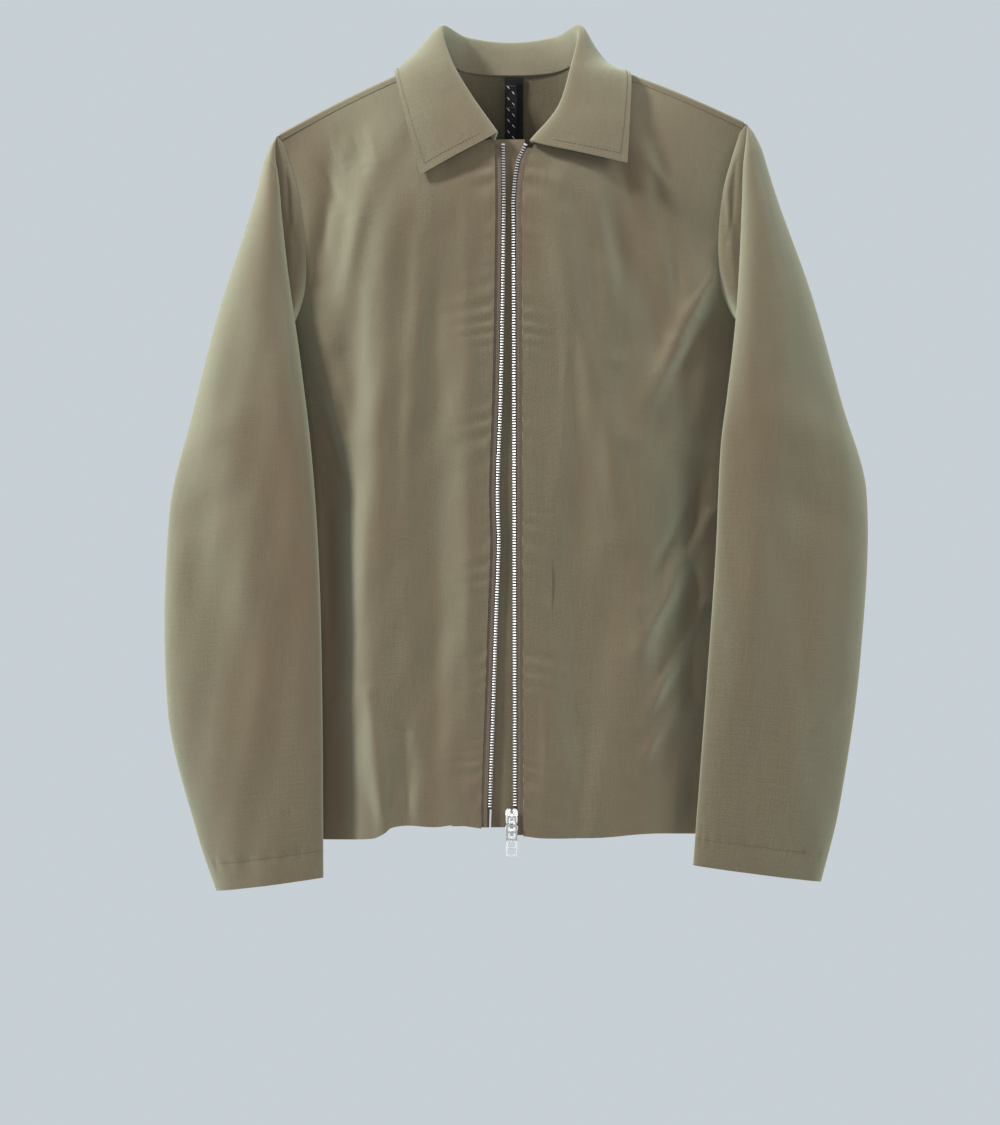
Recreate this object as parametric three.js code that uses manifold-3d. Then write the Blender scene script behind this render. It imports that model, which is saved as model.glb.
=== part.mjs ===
// A zip-front cloth jacket with a pointed fold-down collar, as it hangs from a hanger with its zip undone.
// Millimetres. +Z is up, the chest faces -Y, and +X is the wearer's left. The origin is the middle of the
// hanger seat: the level at which the shoulder seams come out from under the collar.
import * as THREE from "three";
import { mergeVertices } from "three/addons/utils/BufferGeometryUtils.js";
import Module from "manifold-3d";

const wasm = await Module();
wasm.setup();

// Body
const bodyHalfWidth = 232; // side seam to the middle, at the chest
const bodyLength = 690; // origin to the hem
const frontDepth = 50; // how far the chest stands in front of the hanger
const backDepth = 48;
const sideSeamSetBack = 14; // the side seams lie this far behind the hanger
const shoulderRoll = 180; // the height over which the cloth rolls from the seam to its full depth
const sectionPower = 2.4; // how square the body is, seen from above
const armpitDrop = 190; // shoulder tip to armpit
const armpitShare = 0.955; // the body is narrower at the armpits than at the chest
const hemTuck = 6; // each side seam comes in by this much at the hem

// Neck
const neckHalfWidth = 72; // the shoulder seam's inner end
const neckRise = 14; // the same point's height
const backNeckRise = 7;
const neckCorner = 10; // the front neckline turns this far inside the shoulder seam's inner end
const backNeckReach = 55; // how far the back neck is drawn up above the shoulder seams' line
const frontNeckDrop = 66;

// Cloth
const clothThickness = 1.6;
const collarPly = 0.9; // thickness of each layer of the collar
const seamGap = 1.2; // room for the stitches where two pieces are sewn together
const foldInset = 2; // the collar's fold starts this far inside the front's edge
const sewnGap = 0.4; // between pieces that lie on each other

// Zip
const toothRowWidth = 3.3;
const toothRowThickness = 2.8;
const tapeWidth = 13;
const tapeThickness = 0.8;
const tapeShown = 6; // tape between the teeth and the front's edge
const zipEndAboveHem = 26; // end of the teeth to the hem
const facingWidth = 34;
const guardWidth = 24; // from the slider's side to the edge sewn to the right front
const guardReach = 1; // guard's free edge short of the middle of the left teeth
const pinLength = 16;
const pinRadius = 1.25;

// Zip slider and its pull
const sliderLength = 13;
const sliderHalfWidth = 5.2;
const sliderEar = 0.7; // how far the mouth's corners stand out
const sliderPlate = 1.3;
const sliderChannel = 3.4; // between its plates, for the teeth
const tapeSlot = 1.5;
const sliderPitch = 13.4; // between the two parked sliders
const bridgeWidth = 2.4;
const bridgeRise = 2.6;
const pullLength = 21.5;
const pullWidth = 10;
const pullNeckWidth = 7.6;
const pullThickness = 1.4;
const pullBar = 1.5;
const pullLean = 17; // degrees: the upper pull lies on the slider below it

// Sleeves
const sleeveLength = 672;
const sleeveSeam = 1.3; // from the sleeve's edge to where each face begins
const cuffHemDepth = 26;
const cuffTilt = 0.14; // the cuff drops by this share of the distance from its inner edge

// Hang loop
const loopWidth = 11;
const loopLength = 78;
const loopBow = 8; // the braid stands off its backing by this much, for a hook
const loopBackingWidth = 17;
const loopGap = 1.1;

// The two sides hang a little differently. Along the sleeve, each pair is (share of its length, place):
// inner and outer are distances outwards from the shoulder tip. Along the zip, each pair is (distance outwards,
// share of the zip). A collar point is its distance outwards from the
// shoulder seam's inner end, how far it stands ahead of the front, and its height. The fold starts beside the
// zip, so start has only the last two.
const right = {
  name: "right",
  sign: -1,
  tipX: 212,
  tipZ: -54,
  chain: [[-7, 0], [-6.5, 0.1], [-9, 0.37], [-12, 0.52], [-11, 0.6], [-13, 0.7], [-19, 1]],
  inner: [[0, 4], [0.03, 1], [0.1, -15], [0.23, -22], [0.43, -31], [0.63, -38], [0.8, -43], [1, -43]],
  outer: [[0, 6], [0.09, 22], [0.24, 54], [0.375, 77], [0.51, 98], [0.76, 99], [0.92, 72], [1, 54]],
  collar: {
    start: [6.68, -58],
    fold: [[-35, 11.92, -22], [-17, 21.24, 12], [-10, -3.2, 45]],
    edge: [[9, 9.27, -95], [21, 9, -45], [31, 8.8, 1], [26, -26.54, 1]],
  },
};
const left = {
  name: "left",
  sign: 1,
  tipX: 214,
  tipZ: -43,
  chain: [[13.5, 0], [6, 0.03], [2.2, 0.08], [2, 0.12], [2.4, 0.3], [3, 0.7], [3.4, 1]],
  inner: [[0, 4], [0.03, 1], [0.1, -14], [0.23, -19], [0.44, -25], [0.59, -30], [0.78, -39], [1, -50]],
  outer: [[0, 5], [0.1, 28], [0.23, 59], [0.38, 87], [0.5, 109], [0.71, 103], [0.9, 83], [1, 66]],
  collar: {
    start: [6.55, -66],
    fold: [[-29, 7.43, -34], [-17, 16.76, 6], [-10, -3.2, 45]],
    edge: [[32, 12.36, -84], [34, 10.62, -40], [35, 8.14, 1], [26, -27.95, 1]],
  },
};
// Here each point is its place across, how far it stands behind the back neck, and its height.
const collarBack = {
  fold: [[-40, 8.23, 40], [0, 14.32, 37], [40, 8.23, 40]],
  edge: [[-58, 38.04, -6], [0, 31.32, -12], [58, 38.04, -6]],
};
const sleeveInnerY = [[0, -5], [0.05, -11], [0.12, -16], [0.23, -26], [0.4, -42], [0.8, -46], [1, -44]];
const sleeveOuterY = [[0, 2], [0.3, -4], [0.5, -8], [0.8, -18], [1, -26]];
const sleeveHalfDepth = [[0, 4], [0.05, 12], [0.12, 20], [0.25, 28], [0.5, 25], [0.8, 19], [1, 14]];

const hemZ = -bodyLength;
const zipTopZ = -frontNeckDrop;
const zipEndZ = hemZ + zipEndAboveHem;
const zipSpan = zipTopZ - zipEndZ;
const zipY = -frontDepth; // middle plane of the teeth where the front hangs straight
const v2 = (x, z) => new THREE.Vector2(x, z);
const v3 = (x, y, z) => new THREE.Vector3(x, y, z);
const mix = THREE.MathUtils.lerp;

// A smooth value through (place, value) pairs.
function along(pairs, place) {
  const last = pairs.length - 1;
  const i = Math.min(last - 1, Math.max(0, pairs.findIndex(([p]) => p > place) - 1));
  const k = place >= pairs[last][0] ? last - 1 : i;
  const [p0, a] = pairs[k];
  const [p1, b] = pairs[k + 1];
  const slope = (n) => {
    const [q0, c] = pairs[Math.max(0, n - 1)];
    const [q1, d] = pairs[Math.min(last, n + 1)];
    return (d - c) / (q1 - q0);
  };
  const t = THREE.MathUtils.clamp((place - p0) / (p1 - p0), 0, 1);
  const h = p1 - p0;
  return (
    a * (1 + 2 * t) * (1 - t) ** 2 +
    slope(k) * h * t * (1 - t) ** 2 +
    b * t * t * (3 - 2 * t) +
    slope(k + 1) * h * t * t * (t - 1)
  );
}

// The body's outer surface. Each piece of it is a height over the plane that the jacket hangs in.
const sideOf = (x) => (x < 0 ? right : left);
const roll = (drop) => 1 - (1 - THREE.MathUtils.clamp(drop / shoulderRoll, 0, 1)) ** 3;

function shoulderZ(x) {
  const side = sideOf(x);
  const t = (Math.abs(x) - neckHalfWidth) / (side.tipX - neckHalfWidth);
  if (t <= 0) return neckRise;
  return mix(neckRise, side.tipZ, Math.min(t, 1)) + 3 * Math.sin(Math.PI * Math.min(t, 1));
}

// The side seam's distance from the middle, at a height
function seamX(side, z) {
  const armpitZ = side.tipZ - armpitDrop;
  const t = THREE.MathUtils.clamp((armpitZ - z) / (armpitZ - hemZ), 0, 1);
  return mix(bodyHalfWidth * armpitShare, bodyHalfWidth - hemTuck, t);
}

function frontY(x, z) {
  const u = Math.min(1, Math.abs(x) / seamX(sideOf(x), z));
  return roll(shoulderZ(x) - z) * (sideSeamSetBack * u * u - frontDepth * (1 - u ** sectionPower)) - seamGap;
}

function backY(x, z) {
  const u = Math.min(1, Math.abs(x) / seamX(sideOf(x), z));
  const n = Math.min(1, Math.abs(x) / neckHalfWidth);
  const top = shoulderZ(x) + backNeckReach * (1 - n * n);
  return roll(top - z) * (sideSeamSetBack * u * u + backDepth * (1 - u ** sectionPower)) + seamGap;
}

// A closed solid of even thickness about a surface: surface(u, v) gives its middle, u and v from 0 to 1.
function sheet(surface, uSteps, vSteps, thickness, offset = 0) {
  const points = [];
  const faces = [];
  const eps = 1e-3;
  const normal = (u, v) => {
    const du = surface(Math.min(1, u + eps), v).sub(surface(Math.max(0, u - eps), v));
    const dv = surface(u, Math.min(1, v + eps)).sub(surface(u, Math.max(0, v - eps)));
    return du.cross(dv).normalize();
  };
  for (const lift of [offset + thickness / 2, offset - thickness / 2])
    for (let j = 0; j <= vSteps; j++)
      for (let i = 0; i <= uSteps; i++) {
        const [u, v] = [i / uSteps, j / vSteps];
        points.push(...surface(u, v).addScaledVector(normal(u, v), lift).toArray());
      }
  const layer = (uSteps + 1) * (vSteps + 1);
  const at = (side, i, j) => side * layer + j * (uSteps + 1) + i;
  const quad = (a, b, c, d) => faces.push(a, b, c, a, c, d);
  for (let j = 0; j < vSteps; j++)
    for (let i = 0; i < uSteps; i++) {
      quad(at(0, i, j), at(0, i + 1, j), at(0, i + 1, j + 1), at(0, i, j + 1));
      quad(at(1, i, j), at(1, i, j + 1), at(1, i + 1, j + 1), at(1, i + 1, j));
    }
  for (let i = 0; i < uSteps; i++) {
    quad(at(0, i, 0), at(1, i, 0), at(1, i + 1, 0), at(0, i + 1, 0));
    quad(at(0, i + 1, vSteps), at(1, i + 1, vSteps), at(1, i, vSteps), at(0, i, vSteps));
  }
  for (let j = 0; j < vSteps; j++) {
    quad(at(0, 0, j + 1), at(1, 0, j + 1), at(1, 0, j), at(0, 0, j));
    quad(at(0, uSteps, j), at(1, uSteps, j), at(1, uSteps, j + 1), at(0, uSteps, j + 1));
  }
  const geometry = new THREE.BufferGeometry();
  geometry.setAttribute("position", new THREE.Float32BufferAttribute(points, 3));
  geometry.setIndex(faces);
  return geometry;
}

// The patch between four edges, each a function of 0 to 1. Top and bottom run the same way.
function patch(top, bottom, start, end) {
  const [a, b, c, d] = [top(0), top(1), bottom(0), bottom(1)];
  return (u, v) => {
    const p = top(u).clone().multiplyScalar(1 - v).addScaledVector(bottom(u), v);
    p.addScaledVector(start(v), 1 - u).addScaledVector(end(v), u);
    p.addScaledVector(a, -(1 - u) * (1 - v)).addScaledVector(b, -u * (1 - v));
    return p.addScaledVector(c, -(1 - u) * v).addScaledVector(d, -u * v);
  };
}

const line = (a, b) => (t) => a.clone().lerp(b, t);
const route = (...curves) => {
  const path = new THREE.CurvePath();
  curves.forEach((curve) => path.add(curve));
  return (t) => path.getPoint(t);
};
const rollRows = 1.4; // rows lie closer together towards the shoulders
const onFront = (flat) => (u, v) => {
  const p = flat(u, v ** rollRows);
  return v3(p.x, frontY(p.x, p.y), p.y);
};
const onBack = (flat) => (u, v) => {
  const p = flat(u, v ** rollRows);
  return v3(p.x, backY(p.x, p.y), p.y);
};

const material = {
  cloth: new THREE.MeshStandardMaterial({ color: 0x8b7d66, roughness: 0.9, side: THREE.DoubleSide }),
  tape: new THREE.MeshStandardMaterial({ color: 0x6f5c4d, roughness: 0.9 }),
  metal: new THREE.MeshStandardMaterial({ color: 0xd9dbdc, roughness: 0.25, metalness: 1 }),
  braid: new THREE.MeshStandardMaterial({ color: 0x1c1b16, roughness: 0.8 }),
  webbing: new THREE.MeshStandardMaterial({ color: 0x0b0b0b, roughness: 0.8 }),
  lining: new THREE.MeshStandardMaterial({ color: 0xcfc8bb, roughness: 1 }),
};

const jacket = new THREE.Group();

function piece(name, geometry, finish) {
  const mesh = new THREE.Mesh(geometry, finish);
  mesh.name = name;
  jacket.add(mesh);
  return mesh;
}

// Seams of one side, in the hanging plane, outwards from the middle
const armpit = (side) => v2(side.sign * bodyHalfWidth * armpitShare, side.tipZ - armpitDrop);
const hemCorner = (side) => v2(side.sign * (bodyHalfWidth - hemTuck), hemZ);
const tip = (side) => v2(side.sign * side.tipX, side.tipZ);
const neckPoint = (side) => v2(side.sign * neckHalfWidth, neckRise);

function armhole(side, reach) {
  const s = side.sign;
  const [top, end] = [tip(side), armpit(side)];
  const down = (share) => mix(top.y, end.y, share);
  return new THREE.SplineCurve([
    top,
    v2(s * (side.tipX - reach), down(0.36)),
    v2(s * (side.tipX - reach - 3), down(0.7)),
    v2(s * (side.tipX - reach * 0.55), down(0.9)),
    end,
  ]);
}

const sideSeam = (side) => new THREE.LineCurve(armpit(side), hemCorner(side));

// The zip's line on each front: distance outwards of its teeth, at a height
const chainX = (side, z) => along(side.chain.map(([x, t]) => [t, x]), (zipTopZ - z) / zipSpan);
const edgeX = (side, z) => chainX(side, z) + side.sign * (toothRowWidth / 2 + tapeShown);
const chainY = (z) => Math.max(zipY, frontY(0, z) + seamGap);
const behindFront = (x, z) => chainY(z) + frontY(x, z) - frontY(0, z);

function frontPanel(side) {
  const edge = (t) => v2(edgeX(side, mix(zipTopZ, hemZ, t)), mix(zipTopZ, hemZ, t));
  const corner = v2(side.sign * (neckHalfWidth - neckCorner), zipTopZ + 12);
  const neckEdge = new THREE.QuadraticBezierCurve(neckPoint(side), corner, edge(0));
  const top = route(new THREE.LineCurve(tip(side), neckPoint(side)), neckEdge);
  const outer = route(armhole(side, 20), sideSeam(side));
  const flat = patch(top, line(hemCorner(side), edge(1)), outer, edge);
  return sheet(onFront(flat), 13, 20, clothThickness);
}

// A strip beside the zip: from and to are distances outwards from the teeth's middle
function zipStrip(side, from, to, topZ, endZ, depth, thickness, uSteps, vSteps) {
  const surface = (u, v) => {
    const z = mix(topZ, endZ, v);
    const x = chainX(side, z) + side.sign * mix(from, to, u);
    return v3(x, behindFront(x, z) + depth, z);
  };
  return sheet(surface, uSteps, vSteps, thickness);
}

function zipFittings(side) {
  const half = toothRowWidth / 2;
  const depth = sewnGap + clothThickness / 2;
  piece(
    `${side.name}_zip_tape`,
    zipStrip(side, half + 0.3, half + tapeWidth, zipTopZ - 4, hemZ + 2, depth, tapeThickness, 1, 22),
    material.tape,
  );
  piece(
    `${side.name}_tooth_row`,
    zipStrip(side, -half, half, zipTopZ - 3, zipEndZ, depth, toothRowThickness, 1, 26),
    material.metal,
  );
  const facingDepth = sewnGap * 3 + clothThickness * 1.5 + tapeThickness;
  piece(
    `${side.name}_front_facing`,
    zipStrip(side, half + tapeShown, facingWidth, zipTopZ - 6, hemZ + 3, facingDepth, clothThickness, 3, 16),
    material.cloth,
  );
  const stop = new THREE.BoxGeometry(toothRowWidth + 0.4, toothRowThickness + 0.6, 2.2);
  const stopMesh = piece(`${side.name}_top_stop`, stop, material.metal);
  const stopZ = zipTopZ - 1.2;
  stopMesh.position.set(chainX(side, stopZ), chainY(stopZ) + sewnGap + clothThickness / 2, stopZ);
}

function backPanel() {
  const backNeck = new THREE.QuadraticBezierCurve(
    neckPoint(right),
    v2(0, 2 * backNeckRise - neckRise),
    neckPoint(left),
  );
  const shoulders = route(
    new THREE.LineCurve(tip(right), neckPoint(right)),
    backNeck,
    new THREE.LineCurve(neckPoint(left), tip(left)),
  );
  const edge = (side) => route(armhole(side, 11), sideSeam(side));
  const flat = patch(shoulders, line(hemCorner(right), hemCorner(left)), edge(right), edge(left));
  return sheet(onBack(flat), 20, 18, clothThickness);
}

// Sleeves: a slice of the tube at a share of its length, open towards the armhole above the armpit
function sleeveSlice(side, t) {
  const z = side.tipZ - t * sleeveLength;
  const s = side.sign;
  const innerEdge = v2(s * (side.tipX + along(side.inner, t)), along(sleeveInnerY, t));
  const outerEdge = v2(s * (side.tipX + along(side.outer, t)), along(sleeveOuterY, t));
  return { z, innerEdge, outerEdge, depth: along(sleeveHalfDepth, t) };
}

// u runs from the inner edge to the outer one, over the front or the back of the sleeve
function sleeveFace(side, towards) {
  return (u, v) => {
    const t = mix(0.02, 1, v);
    const { z, innerEdge, outerEdge, depth } = sleeveSlice(side, t);
    const turn = Math.PI * u;
    const across = (1 - Math.cos(turn)) / 2;
    const x = mix(innerEdge.x, outerEdge.x, across);
    const swell = Math.sin(turn) ** 1.2;
    const drop = cuffTilt * Math.abs(x - innerEdge.x) * THREE.MathUtils.smoothstep(t, 0.5, 1);
    return v3(x, mix(innerEdge.y, outerEdge.y, across) + towards * (depth * swell + sleeveSeam), z - drop);
  };
}

function sleeve(side) {
  piece(`${side.name}_upper_sleeve`, sheet(sleeveFace(side, -1), 8, 16, clothThickness), material.cloth);
  piece(`${side.name}_under_sleeve`, sheet(sleeveFace(side, 1), 8, 16, clothThickness), material.cloth);
  const start = 1 - cuffHemDepth / sleeveLength;
  const inside = clothThickness + seamGap;
  for (const [name, towards] of [["front", -1], ["back", 1]]) {
    const face = sleeveFace(side, towards);
    const turned = (u, v) => face(mix(0.16, 0.84, u), mix(start, 0.998, v)).add(v3(0, -towards * inside, 0));
    piece(`${side.name}_cuff_hem_${name}`, sheet(turned, 8, 1, clothThickness), material.cloth);
  }
}

// Collar
const collarPoint = (side, [out, ahead, z]) => {
  const x = side.sign * (neckHalfWidth + out);
  return [x, frontY(x, z) - ahead, z];
};
const foldStart = (side) => {
  const [ahead, z] = side.collar.start;
  const x = edgeX(side, z) - side.sign * foldInset;
  return [x, frontY(x, z) - ahead, z];
};
const behindNeck = ([x, behind, z]) => [x, backY(x, backNeckRise) + behind, z];
const ring = (points) => new THREE.CatmullRomCurve3(points.map((p) => v3(...p)), false, "centripetal");
const half = (side, part) => {
  const points = side.collar[part].map((point) => collarPoint(side, point));
  return part === "fold" ? [foldStart(side), ...points] : points;
};
const roundNeck = (part) => ring([
  ...half(right, part),
  ...collarBack[part].map(behindNeck),
  ...half(left, part).reverse(),
]);

function neckline() {
  const front = (side) => {
    const s = side.sign;
    const spot = (x, z) => [s * x, frontY(s * x, z), z];
    const start = Math.abs(edgeX(side, zipTopZ));
    return [
      spot(start, zipTopZ + 5),
      spot(neckHalfWidth - 26, zipTopZ + 30),
      spot(neckHalfWidth - neckCorner, -6),
      spot(neckHalfWidth - 2, neckRise + 5),
    ];
  };
  const back = (x) => [x, backY(x, backNeckRise), mix(backNeckRise, neckRise, (x / neckHalfWidth) ** 2) + 3];
  return ring([...front(right), back(-42), back(0), back(42), ...front(left).reverse()]);
}

function collar() {
  const [fold, edge, base] = [roundNeck("fold"), roundNeck("edge"), neckline()];
  const layer = collarPly + 0.3;
  const leaf = (u, v) => {
    const p = fold.getPoint(u).lerp(edge.getPoint(u), mix(0.04, 1, v));
    const swell = 5 * Math.sin(Math.PI * Math.min(1, v * 1.1));
    return p.add(v3(p.x, p.y * 1.6, 0).normalize().multiplyScalar(swell + layer + clothThickness / 2));
  };
  piece("upper_collar", sheet(leaf, 30, 3, collarPly, -layer), material.cloth);
  piece("collar_interlining", sheet(leaf, 30, 3, collarPly, 0), material.lining);
  piece("under_collar", sheet(leaf, 30, 3, collarPly, layer), material.cloth);
  const stand = (from, to) => (u, v) => base.getPoint(u).lerp(fold.getPoint(u), mix(from, to, v));
  piece("collar_stand", sheet(stand(0.08, 0.84), 26, 2, clothThickness), material.cloth);
}

// Cuts and joins
function solidOf(geometry) {
  const bare = geometry.clone();
  bare.deleteAttribute("normal");
  bare.deleteAttribute("uv");
  const merged = mergeVertices(bare, 1e-4);
  const vertProperties = new Float32Array(merged.attributes.position.array);
  const triVerts = new Uint32Array(merged.index.array);
  return new wasm.Manifold(new wasm.Mesh({ numProp: 3, vertProperties, triVerts }));
}

function geometryOf(solid) {
  const mesh = solid.getMesh();
  const geometry = new THREE.BufferGeometry();
  geometry.setAttribute("position", new THREE.BufferAttribute(new Float32Array(mesh.vertProperties), 3));
  geometry.setIndex(new THREE.BufferAttribute(new Uint32Array(mesh.triVerts), 1));
  return geometry;
}

const block = (x0, x1, y0, y1, z0, z1) =>
  new THREE.BoxGeometry(x1 - x0, y1 - y0, z1 - z0).translate((x0 + x1) / 2, (y0 + y1) / 2, (z0 + z1) / 2);

const plain = { bevelEnabled: false, curveSegments: 6 };

// An outline drawn in x and z, made solid from frontY back by its thickness
function upright(shape, front, thickness) {
  const geometry = new THREE.ExtrudeGeometry(shape, { ...plain, depth: thickness });
  return geometry.rotateX(Math.PI / 2).translate(0, front + thickness, 0);
}

// Slider: two plates joined by a wedge at the mouth, with side walls that leave a slot for the tape
function sliderPlateShape() {
  const [w, h] = [sliderHalfWidth, sliderLength / 2];
  const shape = new THREE.Shape();
  shape.moveTo(-w + 0.8, -h);
  shape.lineTo(w - 0.8, -h);
  shape.quadraticCurveTo(w, -h, w, -h + 1);
  shape.lineTo(w, 0);
  shape.quadraticCurveTo(w + sliderEar * 2, h * 0.55, w - 1, h);
  shape.lineTo(1.6, h);
  shape.lineTo(0, h - 1.6);
  shape.lineTo(-1.6, h);
  shape.lineTo(-w + 1, h);
  shape.quadraticCurveTo(-w - sliderEar * 2, h * 0.55, -w, 0);
  shape.lineTo(-w, -h + 1);
  shape.quadraticCurveTo(-w, -h, -w + 0.8, -h);
  return shape;
}

function sliderBody() {
  const [inside, h] = [sliderChannel / 2, sliderLength / 2];
  const wall = sliderHalfWidth - 0.45;
  const wedge = new THREE.Shape([v2(0, 1.5), v2(0.9, h - 2.2), v2(0, h - 1.7), v2(-0.9, h - 2.2)]);
  let body = solidOf(upright(sliderPlateShape(), -inside - sliderPlate, sliderPlate))
    .add(solidOf(upright(sliderPlateShape(), inside, sliderPlate)))
    .add(solidOf(upright(wedge, -inside - 0.2, sliderChannel + 0.4)));
  for (const s of [-1, 1])
    for (const y of [-1, 1]) {
      const xs = [s * wall, s * sliderHalfWidth].sort((a, b) => a - b);
      const ys = [y * (tapeSlot / 2), y * (inside + 0.2)].sort((a, b) => a - b);
      body = body.add(solidOf(block(...xs, ...ys, -h + 1.2, 0)));
    }
  return geometryOf(body);
}

// The bridge arches over the front plate, and the pull's top bar turns under it
function sliderBridge() {
  const front = -sliderChannel / 2 - sliderPlate - 0.3;
  const [top, end] = [sliderLength / 2 - 1.4, -sliderLength / 2 + 2.6];
  const profile = new THREE.Shape();
  profile.moveTo(0, top);
  profile.quadraticCurveTo(-bridgeRise * 1.25, top - 0.6, -bridgeRise * 1.2, (top + end) / 2);
  profile.quadraticCurveTo(-bridgeRise * 1.25, end + 0.4, 0, end);
  profile.lineTo(0, end + 1);
  profile.quadraticCurveTo(-bridgeRise * 0.8, end + 1.3, -bridgeRise * 0.75, (top + end) / 2);
  profile.quadraticCurveTo(-bridgeRise * 0.8, top - 1.4, 0, top - 1);
  profile.closePath();
  const arch = new THREE.ExtrudeGeometry(profile, { ...plain, depth: bridgeWidth });
  const turn = new THREE.Matrix4().makeBasis(v3(0, 1, 0), v3(0, 0, 1), v3(1, 0, 0));
  return arch.applyMatrix4(turn).translate(-bridgeWidth / 2, front, 0);
}

// The pull: a tapered ladder with three windows. Its origin is the middle of its top bar.
function pullGeometry() {
  const widthAt = (z) => mix(pullNeckWidth, pullWidth, Math.min(1, -z / (pullLength * 0.55))) / 2;
  const shape = new THREE.Shape([
    v2(-pullNeckWidth / 2, 0.7),
    v2(-widthAt(-pullLength), -pullLength * 0.55),
    v2(-pullWidth / 2, -pullLength),
    v2(pullWidth / 2, -pullLength),
    v2(widthAt(-pullLength), -pullLength * 0.55),
    v2(pullNeckWidth / 2, 0.7),
  ]);
  const bars = [-0.7, -pullLength * 0.4, -pullLength * 0.68, -pullLength + pullBar];
  for (let i = 0; i < 3; i++) {
    const [top, end] = [bars[i], bars[i + 1] + (i < 2 ? pullBar : 0)];
    const w = (z) => widthAt(z) - pullBar;
    shape.holes.push(new THREE.Path([v2(-w(top), top), v2(w(top), top), v2(w(end), end), v2(-w(end), end)]));
  }
  return upright(shape, -pullThickness / 2, pullThickness);
}

const sliderX = chainX(left, zipEndZ) - toothRowWidth / 2 - 1.25;
const sliderY = zipY + sewnGap + clothThickness / 2;
const upperSliderZ = zipEndZ - sliderLength / 2;
const pullPivotY = -sliderChannel / 2 - sliderPlate - 0.3 - bridgeRise * 0.32;
const pullPivotZ = -0.6;

function slider(name, z, lean) {
  piece(`${name}_slider_body`, sliderBody(), material.metal).position.set(sliderX, sliderY, z);
  piece(`${name}_slider_bridge`, sliderBridge(), material.metal).position.set(sliderX, sliderY, z);
  const pull = piece(`${name}_pull`, pullGeometry(), material.metal);
  pull.position.set(sliderX, sliderY + pullPivotY, z + pullPivotZ);
  pull.rotation.x = -THREE.MathUtils.degToRad(lean);
}

function bottomPins() {
  const rightPin = new THREE.CylinderGeometry(pinRadius, pinRadius * 0.9, pinLength, 10).rotateX(Math.PI / 2);
  const pin = piece("insertion_pin", rightPin, material.metal);
  const z = zipEndZ - 0.6 - pinLength / 2;
  pin.position.set(chainX(right, zipEndZ) + 0.4, sliderY, z);
  pin.rotation.y = THREE.MathUtils.degToRad(2);
  const x = chainX(left, zipEndZ);
  const retainer = block(x - 1.1, x + 1.1, sliderY - 1.1, sliderY + 1.1, hemZ - 1, zipEndZ - 0.4);
  piece("retainer_pin", retainer, material.metal);
}

function zipGuard() {
  const depth = sewnGap * 6 + clothThickness * 2.5 + tapeThickness;
  const surface = (u, v) => {
    const z = mix(zipTopZ + 4, hemZ + 6, v);
    const sewn = Math.min(chainX(left, z), chainX(left, zipEndZ)) - toothRowWidth / 2 - 4 - guardWidth;
    const x = mix(chainX(left, z) - guardReach, sewn, u);
    return v3(x, behindFront(x, z) + depth, z);
  };
  piece("zip_guard", sheet(surface, 2, 16, clothThickness), material.cloth);
}

function hangLoop() {
  const top = backNeckRise - 3;
  const backing = (u, v) => {
    const x = mix(-loopWidth / 2, loopBackingWidth - loopWidth / 2, u);
    const z = mix(top, top - loopLength - 4, v);
    return v3(x, backY(x, z) - clothThickness - loopGap, z);
  };
  piece("hang_loop_backing", sheet(backing, 2, 10, 1), material.webbing);
  const braid = (u, v) => {
    const [x, z] = [mix(-loopWidth / 2, loopWidth / 2, u), mix(top - 2, top - loopLength, v)];
    const bow = loopBow * Math.sin(Math.PI * THREE.MathUtils.smoothstep(v, 0.15, 1)) ** 0.7;
    return v3(x, backY(x, z) - clothThickness - 1 - loopGap * 2 - 1.2 - (v > 0.15 ? bow : 0), z);
  };
  piece("hang_loop", sheet(braid, 1, 24, 1.4), material.braid);
}

piece("back_panel", backPanel(), material.cloth);
for (const side of [right, left]) {
  piece(`${side.name}_front_panel`, frontPanel(side), material.cloth);
  zipFittings(side);
  sleeve(side);
}
collar();
zipGuard();
bottomPins();
slider("upper", upperSliderZ, pullLean);
slider("lower", upperSliderZ - sliderPitch, 0);
hangLoop();

export default jacket;
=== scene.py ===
import bpy
import math
import numpy as np
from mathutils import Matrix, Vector


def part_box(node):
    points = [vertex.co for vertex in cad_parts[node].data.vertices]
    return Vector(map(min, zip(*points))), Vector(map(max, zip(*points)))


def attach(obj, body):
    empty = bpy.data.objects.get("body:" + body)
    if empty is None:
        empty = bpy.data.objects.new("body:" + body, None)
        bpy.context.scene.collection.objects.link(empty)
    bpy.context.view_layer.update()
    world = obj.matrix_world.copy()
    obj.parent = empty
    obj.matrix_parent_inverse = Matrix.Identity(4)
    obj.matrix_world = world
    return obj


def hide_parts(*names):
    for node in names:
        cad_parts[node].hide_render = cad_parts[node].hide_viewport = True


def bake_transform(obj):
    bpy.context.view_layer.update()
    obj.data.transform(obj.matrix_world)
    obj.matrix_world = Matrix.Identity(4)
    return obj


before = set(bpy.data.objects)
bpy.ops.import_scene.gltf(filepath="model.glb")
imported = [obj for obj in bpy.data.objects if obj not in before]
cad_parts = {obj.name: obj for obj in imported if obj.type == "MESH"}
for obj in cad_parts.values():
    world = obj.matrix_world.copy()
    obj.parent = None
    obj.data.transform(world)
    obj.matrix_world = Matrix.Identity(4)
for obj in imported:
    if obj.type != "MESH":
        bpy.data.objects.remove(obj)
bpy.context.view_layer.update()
mm = 0.001


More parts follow.
